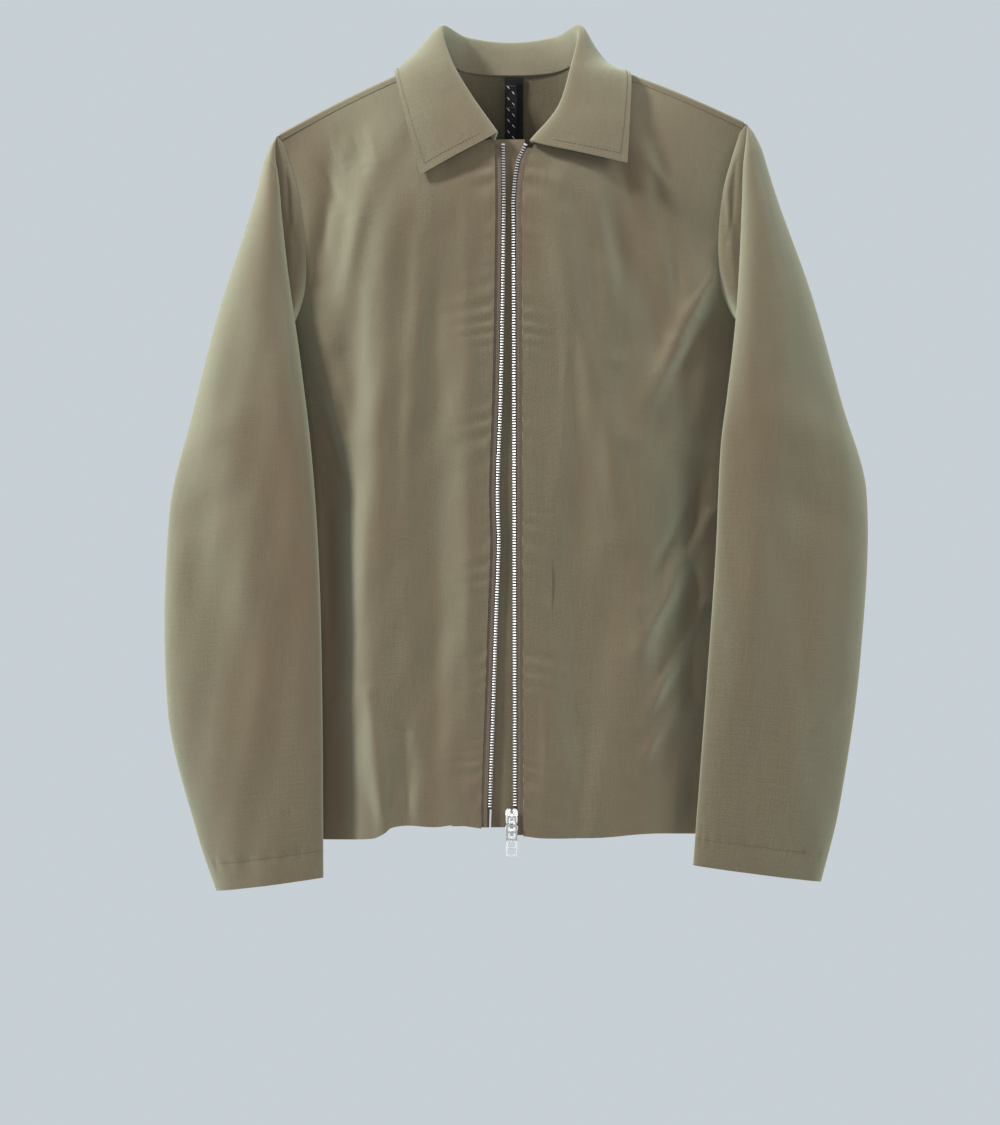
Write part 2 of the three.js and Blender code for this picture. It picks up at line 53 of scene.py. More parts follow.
body = {
    "frontDepth": 50 * mm,
    "backDepth": 48 * mm,
    "seamSetBack": 14 * mm,
    "roll": 180 * mm,  # the height over which the shoulders roll over
    "power": 2.4,
    "halfWidth": 232 * mm,
    "armpitShare": 0.955,
    "hemTuck": 6 * mm,
    "armpitDrop": 190 * mm,
    "neckHalfWidth": 72 * mm,
    "neckRise": 14 * mm,
    "backNeckReach": 55 * mm,
    "hem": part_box("back_panel")[0].z,
    "cloth": 0.9 * mm,
    "seam": 0.5 * mm,  # half the gap where front and back meet
    "sleeveLength": 672 * mm,
}
zipLine = {
    "top": -66 * mm,
    "end": body["hem"] + 26 * mm,
    "toothWidth": 3.3 * mm,
    "pitch": 2.5 * mm,
    "tapeShown": 6 * mm,
    "tapeWidth": 13 * mm,
    "tapeThickness": 0.7 * mm,
    "sway": 0.25 * mm,  # how far the tape waves in and out along its length
    "swayPitch": 0.019,
    "facingWidth": 34 * mm,
    "facingDepth": 2.4 * mm,
    "facingThickness": 0.9 * mm,
}
# tips, folds and edges are in mm
# chain, inner and outer hold a share of the length, then a distance outwards
sides = {
    "right": {
        "sign": -1, "tipX": 212, "tipZ": -54,
        "chain": [(0, -7), (0.1, -6.5), (0.37, -9), (0.52, -12), (0.6, -11), (0.7, -13), (1, -19)],
        "inner": [
            (0, 8), (0.054, 0), (0.114, -4), (0.19, -10), (0.24, -15), (0.31, -22), (0.43, -32),
            (0.58, -39), (0.76, -42), (1, -43)
        ],
        "outer": [(0, 8), (0.09, 22), (0.24, 54), (0.375, 77), (0.51, 98), (0.76, 99), (0.92, 72), (1, 54)],
        "fold": [(-13, -47, -58), (-37, -37, -22), (-55, -24, 12), (-62, 2, 45)],
        "edge": [(-81, -51, -95), (-93, -36, -45), (-103, -10, 1), (-98, 24, 1)],
    },
    "left": {
        "sign": 1, "tipX": 214, "tipZ": -43,
        "chain": [(0, 13.5), (0.03, 6), (0.08, 2.2), (0.12, 2), (0.3, 2.4), (0.7, 3), (1, 3.4)],
        "inner": [
            (0, 4), (0.05, -2), (0.11, -4), (0.17, -6), (0.24, -9), (0.3, -13), (0.37, -19), (0.44, -25),
            (0.59, -30), (0.78, -39), (1, -50)
        ],
        "outer": [(0, 8), (0.1, 28), (0.23, 59), (0.38, 87), (0.5, 109), (0.71, 103), (0.9, 83), (1, 66)],
        "fold": [(18, -49, -66), (43, -38, -34), (55, -24, 6), (62, 2, 45)],
        "edge": [(104, -47, -84), (106, -33, -40), (107, -10, 1), (98, 24, 1)],
    },
}
collarBack = {
    "fold": [(-40, 37, 40), (0, 50, 37), (40, 37, 40)], "edge": [(-58, 57, -6), (0, 67, -12), (58, 57, -6)]
}
sleeveShape = {
    "innerY": [(0, -5), (0.05, -11), (0.12, -16), (0.23, -26), (0.4, -42), (0.8, -46), (1, -44)],
    "outerY": [(0, 2), (0.3, -4), (0.5, -8), (0.8, -18), (1, -26)],
    "depth": [(0, 4), (0.05, 12), (0.12, 20), (0.25, 28), (0.5, 25), (0.8, 19), (1, 14)],
    "cuffTilt": 0.14,
}


def mix(a, b, t):
    return a + (b - a) * t


def smooth(t):
    t = np.clip(t, 0, 1)
    return t * t * (3 - 2 * t)


def along(pairs, place):  # a smooth value through (place, value) pairs
    p = np.array([q[0] for q in pairs], float)
    v = np.array([q[1] for q in pairs], float)
    slopes = np.array(
        [
            (v[min(i + 1, len(v) - 1)] - v[max(i - 1, 0)]) / (p[min(i + 1, len(p) - 1)] - p[max(i - 1, 0)])
            for i in range(len(p))
        ]
    )
    place = np.asarray(place, float)
    k = np.clip(np.searchsorted(p, place, side="right") - 1, 0, len(p) - 2)
    h = p[k + 1] - p[k]
    t = np.clip((place - p[k]) / h, 0, 1)
    return (
        v[k] * (1 + 2 * t) * (1 - t) ** 2 + slopes[k] * h * t * (1 - t) ** 2
        + v[k + 1] * t * t * (3 - 2 * t) + slopes[k + 1] * h * t * t * (t - 1)
    )


def spline(points, count=400):  # an even smooth line through the points
    q = np.array(points, float)
    q = np.vstack([2 * q[0] - q[1], q, 2 * q[-1] - q[-2]])
    out = []
    for i in range(1, len(q) - 2):
        t = np.linspace(0, 1, 40, endpoint=False)[:, None]
        a, b, c, d = q[i - 1], q[i], q[i + 1], q[i + 2]
        out.append(
            0.5
            * (2 * b + (c - a) * t + (2 * a - 5 * b + 4 * c - d) * t**2 + (3 * b - a - 3 * c + d) * t**3)
        )
    return route(np.vstack([*out, q[-2:-1]]), count)


def route(points, count=400):
    points = np.asarray(points, float)
    steps = np.r_[0, np.cumsum(np.linalg.norm(np.diff(points, axis=0), axis=1))]
    even = np.linspace(0, steps[-1], count)
    return np.stack([np.interp(even, steps, points[:, i]) for i in range(points.shape[1])], 1)


def at(line, t):  # points of an even line at shares of its length
    t = np.clip(np.asarray(t, float), 0, 1) * (len(line) - 1)
    return np.stack([np.interp(t, np.arange(len(line)), line[:, i]) for i in range(line.shape[1])], -1)


def bend(a, b, c, count=80):
    t = np.linspace(0, 1, count)[:, None]
    return (1 - t) ** 2 * np.array(a) + 2 * t * (1 - t) * np.array(b) + t * t * np.array(c)


def patch(top, bottom, start, end):
    def surface(u, v):
        u3, v3 = u[..., None], v[..., None]
        p = at(top, u) * (1 - v3) + at(bottom, u) * v3 + at(start, v) * (1 - u3) + at(end, v) * u3
        p -= top[0] * (1 - u3) * (1 - v3) + top[-1] * u3 * (1 - v3)
        return p - bottom[0] * (1 - u3) * v3 - bottom[-1] * u3 * v3
    return surface


def bySide(x, key):
    return np.where(x < 0, sides["right"][key], sides["left"][key]) * mm


def shoulderZ(x):
    t = np.clip((np.abs(x) - body["neckHalfWidth"]) / (bySide(x, "tipX") - body["neckHalfWidth"]), 0, 1)
    return mix(body["neckRise"], bySide(x, "tipZ"), t) + 3 * mm * np.sin(np.pi * t)


def across(x, z):
    armpit = bySide(x, "tipZ") - body["armpitDrop"]
    t = np.clip((armpit - z) / (armpit - body["hem"]), 0, 1)
    return np.clip(
        np.abs(x) / mix(body["halfWidth"] * body["armpitShare"], body["halfWidth"] - body["hemTuck"], t), 0,
        1
    )


def rollAt(drop):
    return 1 - (1 - np.clip(drop / body["roll"], 0, 1)) ** 3


def frontY(x, z):
    u = across(x, z)
    return rollAt(shoulderZ(x) - z) * (
        body["seamSetBack"] * u * u - body["frontDepth"] * (1 - u ** body["power"])
    ) - body["seam"]


def backY(x, z):
    u = across(x, z)
    n = np.clip(np.abs(x) / body["neckHalfWidth"], 0, 1)
    top = shoulderZ(x) + body["backNeckReach"] * (1 - n * n)
    return rollAt(top - z) * (
        body["seamSetBack"] * u * u + body["backDepth"] * (1 - u ** body["power"])
    ) + body["seam"]


foldShape = {"gain": 1.6, "spread": 0.72, "wander": 0.25}  # raises, narrows and unsettles every ridge


def folds(x, z, ridges):  # each ridge: x0, z0, x1, z1, half width, height, all in mm
    total = np.zeros_like(x)
    for x0, z0, x1, z1, width, height in ridges:
        dx, dz = (x1 - x0) * mm, (z1 - z0) * mm
        s = ((x - x0 * mm) * dx + (z - z0 * mm) * dz) / (dx * dx + dz * dz)
        near = np.clip(s, 0, 1)
        d = np.hypot(x - x0 * mm - near * dx, z - z0 * mm - near * dz)
        wander = 1 + foldShape["wander"] * np.sin(9 * s + x0)
        reach = foldShape["spread"] * width * mm * wander
        fade = 0.25 + 0.75 * np.sin(np.pi * np.clip(s, 0.06, 0.94))
        total += foldShape["gain"] * height * mm * np.exp(-((d / reach) ** 2)) * fade
    return total


def ripple(x, z, seed, count=18, size=0.07, height=0.85):  # a soft unevenness, the same every run
    draw = np.random.default_rng(seed)
    total = np.zeros_like(x)
    for _ in range(count):
        angle, phase = draw.uniform(0, np.pi), draw.uniform(0, 2 * np.pi)
        wave = 2 * np.pi / (size * draw.uniform(0.5, 1.6))
        total += np.sin((x * np.cos(angle) * 1.6 + z * np.sin(angle) * 0.6) * wave + phase)
    return total * height * mm / math.sqrt(count)


def meshOf(name, points, faces, uvs=None, sharp=50):
    mesh = bpy.data.meshes.new(name)
    mesh.from_pydata(
        np.asarray(points).tolist(), [],
        np.asarray(faces).tolist() if not isinstance(faces, list) else faces
    )
    if uvs is not None:
        layer = mesh.uv_layers.new(name="cut")
        loops = np.zeros(len(mesh.loops), np.int32)
        mesh.loops.foreach_get("vertex_index", loops)
        layer.data.foreach_set("uv", np.asarray(uvs)[loops].astype(np.float32).ravel())
    mesh.shade_smooth()
    mesh.set_sharp_from_angle(angle=math.radians(sharp))
    obj = bpy.data.objects.new(name, mesh)
    bpy.context.scene.collection.objects.link(obj)
    return obj


def normalsOf(p, closed=False):
    du = (np.roll(p, -1, 1) - np.roll(p, 1, 1)) if closed else np.gradient(p, axis=1)
    n = np.cross(du, np.gradient(p, axis=0))
    return n / np.maximum(np.linalg.norm(n, axis=-1, keepdims=True), 1e-12)


def clothOf(name, p, thickness, closed=False, flip=False):
    # p is rows by columns of points on the cloth's middle; it gets two faces and a rounded rim
    n = normalsOf(p, closed) * (-1 if flip else 1)
    rows, cols = p.shape[:2]
    outer, inner = p + n * thickness / 2, p - n * thickness / 2
    points = np.vstack([outer.reshape(-1, 3), inner.reshape(-1, 3)])
    j, i = np.meshgrid(np.arange(rows - 1), np.arange(cols if closed else cols - 1), indexing="ij")
    k = (i + 1) % cols
    a, b, c, d = j * cols + i, j * cols + k, (j + 1) * cols + k, (j + 1) * cols + i
    quads = np.stack([a, b, c, d], -1).reshape(-1, 4)
    if flip:
        quads = quads[:, ::-1]
    size = rows * cols
    faces = [quads, quads[:, ::-1] + size]
    top, low = np.arange(cols), (rows - 1) * cols + np.arange(cols)
    rims = [(top, closed, 1), (low, closed, -1)]
    if not closed:
        rims += [(np.arange(rows) * cols, False, -1), (np.arange(rows) * cols + cols - 1, False, 1)]
    for line, ring, turn in rims:
        p0, p1 = (line, np.roll(line, -1)) if ring else (line[:-1], line[1:])
        rim = np.stack([p0, p0 + size, p1 + size, p1], -1)
        faces.append(rim if (turn > 0) != flip else rim[:, ::-1])
    wide = np.r_[0, np.cumsum(np.linalg.norm(np.diff(p[rows // 2], axis=0), axis=1))]
    tall = np.r_[0, np.cumsum(np.linalg.norm(np.diff(p[:, cols // 2], axis=0), axis=1))]
    uv = np.stack(np.meshgrid(wide, tall), -1).reshape(-1, 2)
    return meshOf(name, points, np.vstack(faces), np.vstack([uv, uv]))


def grid(cols, rows, rowPower=1.0):
    return np.meshgrid(np.linspace(0, 1, cols), np.linspace(0, 1, rows) ** rowPower)


def sample(values, steps, s):
    return np.stack([np.interp(s, steps, values[:, i]) for i in range(3)], -1)


def yarnBits(name, starts, ends, ups, radius=0.24):  # short rounded bits of thread, with their ends sunk in
    stations = [(0, 0.35, -0.5), (0.18, 0.9, 0.2), (0.5, 1, 0.5), (0.82, 0.9, 0.2), (1, 0.35, -0.5)]
    points, faces = [], []
    for start, end, up in zip(starts, ends, ups):
        base = len(points)
        up = up / np.linalg.norm(up)
        out = np.cross((end - start) / np.linalg.norm(end - start), up)
        for share, fat, lift in stations:
            centre = mix(start, end, share) + up * lift * radius * mm
            for k in range(6):
                angle = k * math.pi / 3
                points.append(
                    centre + (out * math.cos(angle) + up * math.sin(angle) * 0.8) * radius * fat * mm
                )
        for ring in range(4):
            for k in range(6):
                a, b = base + ring * 6 + k, base + ring * 6 + (k + 1) % 6
                faces.append([a, a + 6, b + 6, b])
        faces.append([base + k for k in range(6)])
        faces.append([base + 24 + k for k in range(5, -1, -1)])
    return meshOf(name, np.array(points), faces, sharp=80)


def stitches(name, line, normals, length=2.1, gap=0.9, radius=0.24):
    steps = np.r_[0, np.cumsum(np.linalg.norm(np.diff(line, axis=0), axis=1))]
    starts = np.arange(gap * mm, steps[-1] - length * mm, (length + gap) * mm)
    first, last = sample(line, steps, starts), sample(line, steps, starts + length * mm)
    return yarnBits(name, first, last, sample(normals, steps, starts), radius)


# the node's shape, with softened edges
def refined(name, node, finish, bodyName, bevel=0.28, segments=3):
    obj = bpy.data.objects.new(name, bpy.data.objects[node].data.copy())
    bpy.context.scene.collection.objects.link(obj)
    obj.data.shade_smooth()
    soften = obj.modifiers.new("soften", "BEVEL")
    soften.width = bevel * mm
    soften.segments = segments
    soften.limit_method = "ANGLE"
    soften.angle_limit = math.radians(30)
    soften.harden_normals = True
    return finishWith(obj, finish, bodyName, [node])


print("helpers ready")


class Value:
    def __init__(self, socket, tree):
        self.socket, self.tree = socket, tree

    def math(self, operation, other=None, swap=False):
        node = self.tree.nodes.new("ShaderNodeMath")
        node.operation = operation
        for i, item in enumerate([other, self] if swap else [self, other]):
            if isinstance(item, Value):
                self.tree.links.new(item.socket, node.inputs[i])
            elif item is not None:
                node.inputs[i].default_value = item
        return Value(node.outputs[0], self.tree)

    def __add__(self, other):
        return self.math("ADD", other)

    def __sub__(self, other):
        return self.math("SUBTRACT", other)

    def __mul__(self, other):
        return self.math("MULTIPLY", other)

    def __radd__(self, other):
        return self.math("ADD", other, swap=True)

    def __rsub__(self, other):
        return self.math("SUBTRACT", other, swap=True)

    def __rmul__(self, other):
        return self.math("MULTIPLY", other, swap=True)

    def __lt__(self, other):
        return self.math("LESS_THAN", other)


class Finish:
    def __init__(self, name, **constants):
        self.material = bpy.data.materials.new(name)
        self.material.use_nodes = True
        self.tree = self.material.node_tree
        self.shader = self.tree.nodes["Principled BSDF"]
        for socket, value in constants.items():
            self.shader.inputs[socket.replace("_", " ")].default_value = value

    def node(self, kind, settings=None, inputs=None, out=0):
        made = self.tree.nodes.new(kind)
        for key, value in (settings or {}).items():
            setattr(made, key, value)
        for key, value in (inputs or {}).items():
            if isinstance(value, Value):
                self.tree.links.new(value.socket, made.inputs[key])
            else:
                made.inputs[key].default_value = value
        return Value(made.outputs[out], self.tree)

    def mixColour(self, factor, a, b):
        a, b = (c if isinstance(c, Value) else (*c, 1) for c in (a, b))
        return self.node("ShaderNodeMix", {"data_type": "RGBA"}, {0: factor, 6: a, 7: b}, out=2)

    def noise(self, where, scale, detail=3, rough=0.5):
        return self.node(
            "ShaderNodeTexNoise", {},
            {"Vector": where, "Scale": scale, "Detail": detail, "Roughness": rough}
        )

    def split(self, where):
        first = self.node("ShaderNodeSeparateXYZ", inputs={0: where})
        return [Value(output, self.tree) for output in first.socket.node.outputs]

    def place(self, kind="Object"):
        return self.node("ShaderNodeTexCoord", out=kind)

    def set(self, **links):
        for socket, value in links.items():
            self.tree.links.new(value.socket, self.shader.inputs[socket.replace("_", " ")])
        return self.material

    def bump(self, height, distance, strength=1.0):
        return self.node(
            "ShaderNodeBump", {}, {"Height": height, "Distance": distance, "Strength": strength}
        )


def wovenFinish(
    name, warp, weft, shot, thread=0.42, sheen=0.6, rough=0.82, tint=(0.5, 0.58, 0.4), depth=0.12,
    crumple=1.0, paintedSheen=None, cordShadeWidth=0
):
    finish = Finish(
        name, Sheen_Weight=sheen, Sheen_Roughness=0.4, Sheen_Tint=(*tint, 1), IOR=1.45,
        Specular_IOR_Level=0.3
    )
    cut = finish.place("UV")
    spot = finish.place()
    u, v, _ = finish.split(cut)
    wave = 2 * math.pi / (thread * mm)
    crossing = (u * wave).math("SINE") * (v * wave).math("SINE")  # threads pass over and under by turns
    slubs = finish.noise(
        finish.node("ShaderNodeMapping", {}, {"Vector": cut, "Scale": (1100, 30, 1)}), 1.0, 2
    )
    slubsAcross = finish.noise(
        finish.node("ShaderNodeMapping", {}, {"Vector": cut, "Scale": (30, 1100, 1)}), 1.0, 2
    )
    grain = finish.noise(cut, 850, 3, 0.75)
    weave = (crossing * 0.2 + 0.5) * 0.25 + (slubs + slubsAcross) * 0.13 + grain * 0.5
    spread = finish.node("ShaderNodeMapRange", {}, {"Value": weave, 1: 0.4, 2: 0.62, 3: 0.0, 4: 1.0})
    base = finish.mixColour(spread, warp, weft)
    # the two thread colours show by turns in long upright patches
    patches = finish.noise(
        finish.node("ShaderNodeMapping", {}, {"Vector": spot, "Scale": (11, 11, 2.6)}), 1.0, 3, 0.55
    )
    turned = finish.node("ShaderNodeMapRange", {}, {"Value": patches, 1: 0.42, 2: 0.64, 3: 0.0, 4: 0.7})
    colour = finish.mixColour(turned, base, shot)
    if paintedSheen:  # painted sheen: a paler greenish colour is mixed into the base colour where the cloth is seen at a slant
        slant = finish.node("ShaderNodeLayerWeight", {}, {"Blend": 0.5}, out=1)
        colour = finish.mixColour((slant * 0.85).math("MINIMUM", 1.0), colour, paintedSheen)
    if cordShadeWidth:  # the tape's dark edge under the teeth, darker than the tape both as its own edge and as painted shade in the gaps between the teeth
        colour = finish.mixColour(u < cordShadeWidth * mm, colour, colours["cordAndGapShade"])
    creases = finish.noise(
        finish.node("ShaderNodeMapping", {}, {"Vector": spot, "Scale": (62, 62, 30)}), 1.0, 5, 0.6
    )
    height = creases * crumple * 12 + crossing * 0.4 + (slubs + slubsAcross) * 0.8 + grain * 0.8
    return finish.set(
        Base_Color=colour, Roughness=patches * 0.12 + (rough - 0.06),
        Normal=finish.bump(height, depth * mm, 1.0)
    )


def metalFinish(name, colour, rough):
    finish = Finish(name, Metallic=1.0)
    spot = finish.place()
    scratches = finish.noise(
        finish.node("ShaderNodeMapping", {}, {"Vector": spot, "Scale": (2500, 2500, 500)}), 1.0, 3
    )
    cloud = finish.noise(spot, 300, 2)
    worn = finish.mixColour(cloud, colour, tuple(c * 0.8 for c in colour))
    return finish.set(
        Base_Color=worn, Roughness=scratches * 0.16 + (rough - 0.08),
        Normal=finish.bump(scratches, 0.03 * mm, 0.4)
    )


def threadFinish(name, colour):
    finish = Finish(name, Sheen_Weight=0.3)
    spot = finish.place()
    twist = finish.noise(spot, 2500, 2)
    return finish.set(
        Base_Color=finish.mixColour(twist, colour, tuple(c * 0.6 for c in colour)),
        Roughness=twist * 0.2 + 0.6, Normal=finish.bump(twist, 0.05 * mm)
    )


colours = {
    "warp": (0.15, 0.123, 0.075),
    "weft": (0.08, 0.062, 0.036),
    "shot": (0.122, 0.084, 0.05),
    # painted sheen: the paler greenish colour mixed into the cloth where it is seen at a slant
    "paintedSheen": (0.36, 0.355, 0.25),
    # the tape's own dark edge, darkened further as painted shade between the zip teeth
    "cordAndGapShade": (0.03, 0.022, 0.016),
    "tapeWarp": (0.125, 0.094, 0.065),
    "tapeWeft": (0.07, 0.051, 0.035),
    "seamThread": (0.038, 0.028, 0.017),
    "brownThread": (0.17, 0.115, 0.08),
    "silver": (0.97, 0.97, 0.965),
    "pull": (0.62, 0.62, 0.6),
    "webbing": (0.014, 0.013, 0.012),
    "fleck": (0.75, 0.72, 0.6),
}
finishes = {
    "cloth": wovenFinish(
        # the cloth gets a painted sheen at slanting views
        "oliveCloth", colours["warp"], colours["weft"], colours["shot"], paintedSheen=colours["paintedSheen"]
    ),
    "tape": wovenFinish(
        "zipTapeWeave", colours["tapeWarp"], colours["tapeWeft"], colours["tapeWarp"], thread=0.8,
        # the tape's edge under the teeth is darkened, partly as painted shade between the teeth
        sheen=0.1, tint=(0.4, 0.35, 0.3), depth=0.2, crumple=0.0, cordShadeWidth=1.9
    ),
    "webbing": wovenFinish(
        "blackWebbing", colours["webbing"], (0.007, 0.007, 0.007), (0.02, 0.019, 0.018), thread=1.0,
        sheen=0.1, tint=(0.3, 0.3, 0.3), depth=0.2, crumple=0.0
    ),
    "metal": metalFinish("brightZipMetal", colours["silver"], 0.3),
    "pullMetal": metalFinish("pullMetal", colours["pull"], 0.24),
    "thread": threadFinish("seamThread", colours["seamThread"]),
    "brownThread": threadFinish("brownThread", colours["brownThread"]),
    "fleck": threadFinish("fleckYarn", colours["fleck"]),
}


def finishWith(obj, finish, bodyName="garment", replaced=()):
    obj.data.materials.clear()
    obj.data.materials.append(finishes[finish])
    if bodyName:
        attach(obj, bodyName)
    if replaced:
        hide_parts(*replaced)
    return obj


print("materials ready")


def tip(side):
    return np.array([side["sign"] * side["tipX"], side["tipZ"]]) * mm


def armpit(side):
    return np.array(
        [side["sign"] * body["halfWidth"] * body["armpitShare"], side["tipZ"] * mm - body["armpitDrop"]]
    )


def hemCorner(side):
    return np.array([side["sign"] * (body["halfWidth"] - body["hemTuck"]), body["hem"]])


def neckPoint(side):
    return np.array([side["sign"] * body["neckHalfWidth"], body["neckRise"]])


def armhole(side, reach):
    s, (x, top), end = side["sign"], tip(side), armpit(side)
    x = abs(x)
    rows = [(x, 0), (x - reach * mm, 0.36), (x - (reach + 3) * mm, 0.7), (x - reach * 0.55 * mm, 0.9)]
    return spline([(s * a, mix(top, end[1], b)) for a, b in rows] + [tuple(end)])


def chainX(side, z):
    return along(side["chain"], (zipLine["top"] - z) / (zipLine["top"] - zipLine["end"])) * mm


def chainY(z):
    return np.maximum(-50 * mm, frontY(0 * z, z) + 0.5 * mm) + 1.2 * mm


def edgeX(side, z):
    return chainX(side, z) + side["sign"] * (zipLine["toothWidth"] / 2 + zipLine["tapeShown"])


panel = {
    "cols": 110,
    "rows": 280,
    "frontReach": 20,
    "backReach": 11,
    "pucker": 1.3,  # height in mm of the puckers beside the zip
    "puckerPitch": 0.017,
    # x0, z0, x1, z1, half width, height
    "right": [
        (-165, -70, -150, -680, 34, -6), (-112, -60, -128, -690, 26, 5.5), (-72, -150, -66, -690, 24, -5),
        (-190, -180, -140, -330, 20, 3), (-182, -230, -176, -660, 20, 3.2), (-40, -110, -34, -660, 14, 1.8),
        (-158, -52, -176, -190, 13, -3.6), (-120, -40, -158, -240, 15, 3.4), (-70, -80, -84, -300, 16, 2.4),
        (-128, -560, -112, -700, 12, 5), (-96, -600, -92, -700, 12, -4), (-60, -30, -120, -200, 26, 2),
        (-168, -42, -150, -84, 6, 2.2), (-150, -42, -132, -86, 7, -2.2), (-134, -36, -120, -80, 6, 1.8),
        (-176, -70, -150, -130, 9, -1.8),
        (-84, -150, -96, -420, 12, 1.8), (-128, -200, -134, -520, 12, 1.6),
        (-178, -250, -150, -330, 9, 2.2), (-176, -300, -140, -390, 8, -1.6),
    ],
    "left": [
        (38, -100, 100, -420, 24, 4.5), (80, -60, 150, -300, 30, -4.5), (60, -300, 64, -690, 30, -4.5),
        (120, -280, 112, -690, 32, 4.5), (188, -160, 110, -330, 17, 4.4), (170, -330, 150, -560, 22, -4.5),
        (180, -400, 118, -520, 12, 4.2), (174, -480, 118, -590, 10, 3.2), (30, -480, 32, -680, 12, 1.5),
        (70, -70, 96, -260, 15, 3.2), (130, -60, 156, -230, 14, -3),
        (190, -170, 150, -240, 8, 2.4), (188, -200, 140, -290, 9, -2.2), (176, -360, 120, -470, 10, -2),
        (120, -70, 150, -120, 9, 1.6),
        (84, -180, 96, -420, 13, 1.8), (50, -130, 48, -420, 10, 1.4), (150, -560, 110, -640, 9, 1.8),
        (96, -70, 130, -180, 12, -1.8),
    ],
    "back": [
        (-150, -60, -130, -690, 40, 5), (-70, -40, -66, -690, 36, -4), (0, -100, 6, -690, 40, 4),
        (80, -40, 74, -690, 38, -4), (150, -60, 136, -690, 40, 5), (-190, -240, -120, -360, 22, 3),
        (190, -240, 120, -360, 22, 3),
    ],
}


hemShape = {  # how far the hem lies above its lowest, across the body, in mm
    "right": [
        (-226, -2), (-170, -4), (-125, -2), (-114, 3), (-108, 8), (-92, 10), (-68, 9), (-50, 11), (-24, 8)
    ],
    "left": [(8, 2), (29, -0.5), (80, -0.5), (120, 2.5), (160, 1.5), (226, -2)],
    "back": [
        (-226, -2), (-150, 1), (-112, 7), (-92, 12), (-68, 12), (-48, 12), (-20, 8), (20, 1), (60, 1),
        (140, 4), (226, -2)
    ],
}


def hemLift(x, z, name):
    low = smooth((body["hem"] + 0.16 - z) / 0.16)
    return low * along(hemShape[name], x / mm) * mm


def frontPoints(name, u, v):
    side = sides[name]
    zs = np.linspace(zipLine["top"], body["hem"], 300)
    edge = route(np.stack([edgeX(side, zs), zs], 1))
    neck = bend(neckPoint(side), (side["sign"] * 62 * mm, zipLine["top"] + 12 * mm), edge[0])
    top = route(np.vstack([tip(side), neck]))
    outer = route(np.vstack([armhole(side, panel["frontReach"]), hemCorner(side)]))
    flat = patch(top, route([hemCorner(side), edge[-1]]), outer, edge)(u, v)
    x, z = flat[..., 0], flat[..., 1]
    y = frontY(x, z)
    free = smooth(v / 0.12) * smooth((1 - u) / 0.1) * smooth(u / 0.05)  # seams stay where they are sewn
    y -= free * (folds(x, z, panel[name]) + ripple(x, z, 3 if name == "right" else 5))
    fromEdge = np.abs(x - edgeX(side, z))
    wave = np.sin(
        2 * np.pi * z / panel["puckerPitch"] + 3.2 * np.sin(z * 31) + 2 * np.sin(z * 83 + 1) + fromEdge * 90
    )
    reach = 0.013 * (1 + 0.6 * np.sin(z * 47 + side["sign"]))
    pucker = wave * (0.6 + 0.4 * np.sin(z * 59 + 2)) * np.exp(-fromEdge / reach)
    y -= panel["pucker"] * mm * pucker * smooth(fromEdge / 0.004)
    z = z + hemLift(x, z, name)
    return np.stack([x, y, z], -1)


for name, side in sides.items():
    u, v = grid(panel["cols"], panel["rows"], 1.15)
    obj = clothOf(name + "Front", frontPoints(name, u, v), body["cloth"], flip=(name == "left"))
    finishWith(obj, "cloth", replaced=[name + "_front_panel"])

u, v = grid(200, panel["rows"], 1.15)
backNeck = bend(neckPoint(sides["right"]), (0, 0), neckPoint(sides["left"]))
backTop = route(np.vstack([tip(sides["right"]), backNeck, tip(sides["left"])]))
backEdges = [route(np.vstack([armhole(s, panel["backReach"]), hemCorner(s)])) for s in sides.values()]
flat = patch(backTop, route([hemCorner(s) for s in sides.values()]), *backEdges)(u, v)
x, z = flat[..., 0], flat[..., 1]
free = smooth(v / 0.1) * smooth(u / 0.05) * smooth((1 - u) / 0.05)
y = backY(x, z) + free * (
    folds(x, z, panel["back"]) * np.where(np.abs(x) < 0.03, smooth((-0.09 - z) / 0.05), 1) + ripple(x, z, 7)
)
z = z + hemLift(x, z, "back")
backPiece = clothOf("back", np.stack([x, y, z], -1), body["cloth"], flip=True)
finishWith(backPiece, "cloth", replaced=["back_panel"])
print("body made")


sleeve = {
    "around": 150,
    "rows": 260,
    "cuffDepth": 25,
    "pucker": 0.5,
    "start": 0.02,
    "frontTuck": 1.12,
    "backTuck": 1.42,
    "joined": 0.14,  # the share of the armhole over which the strips leave the sleeve's top point
    "tuckFolds": [(196, -90, 204, -190, 5, 1.5), (205, -80, 199, -150, 4, -1.5)],
}


def slicePoint(side, turn, t, inset=0.0):
    # turn 0 is the outer edge, half a turn is the inner edge, the front is between them
    s = side["sign"]
    innerX = (side["tipX"] + along(side["inner"], t)) * mm + inset
    outerX = (side["tipX"] + along(side["outer"], t)) * mm - inset
    innerY, outerY = along(sleeveShape["innerY"], t) * mm, along(sleeveShape["outerY"], t) * mm
    share = (1 - np.cos(turn)) / 2
    x = mix(outerX, innerX, share)
    depth = np.sign(np.sin(turn)) * np.abs(np.sin(turn)) ** 1.2 * (
        along(sleeveShape["depth"], t) * mm - inset
    )
    drop = sleeveShape["cuffTilt"] * np.abs(x - innerX) * smooth((t - 0.5) / 0.5)
    z = side["tipZ"] * mm - t * body["sleeveLength"] - drop
    return np.stack([s * x, mix(outerY, innerY, share) - depth, z], -1)


def sleeveTop(side):  # where the sleeve comes to a point, at the end of the shoulder seam
    return np.array([side["sign"] * (side["tipX"] + 1.5), -1.5, side["tipZ"] - 1]) * mm


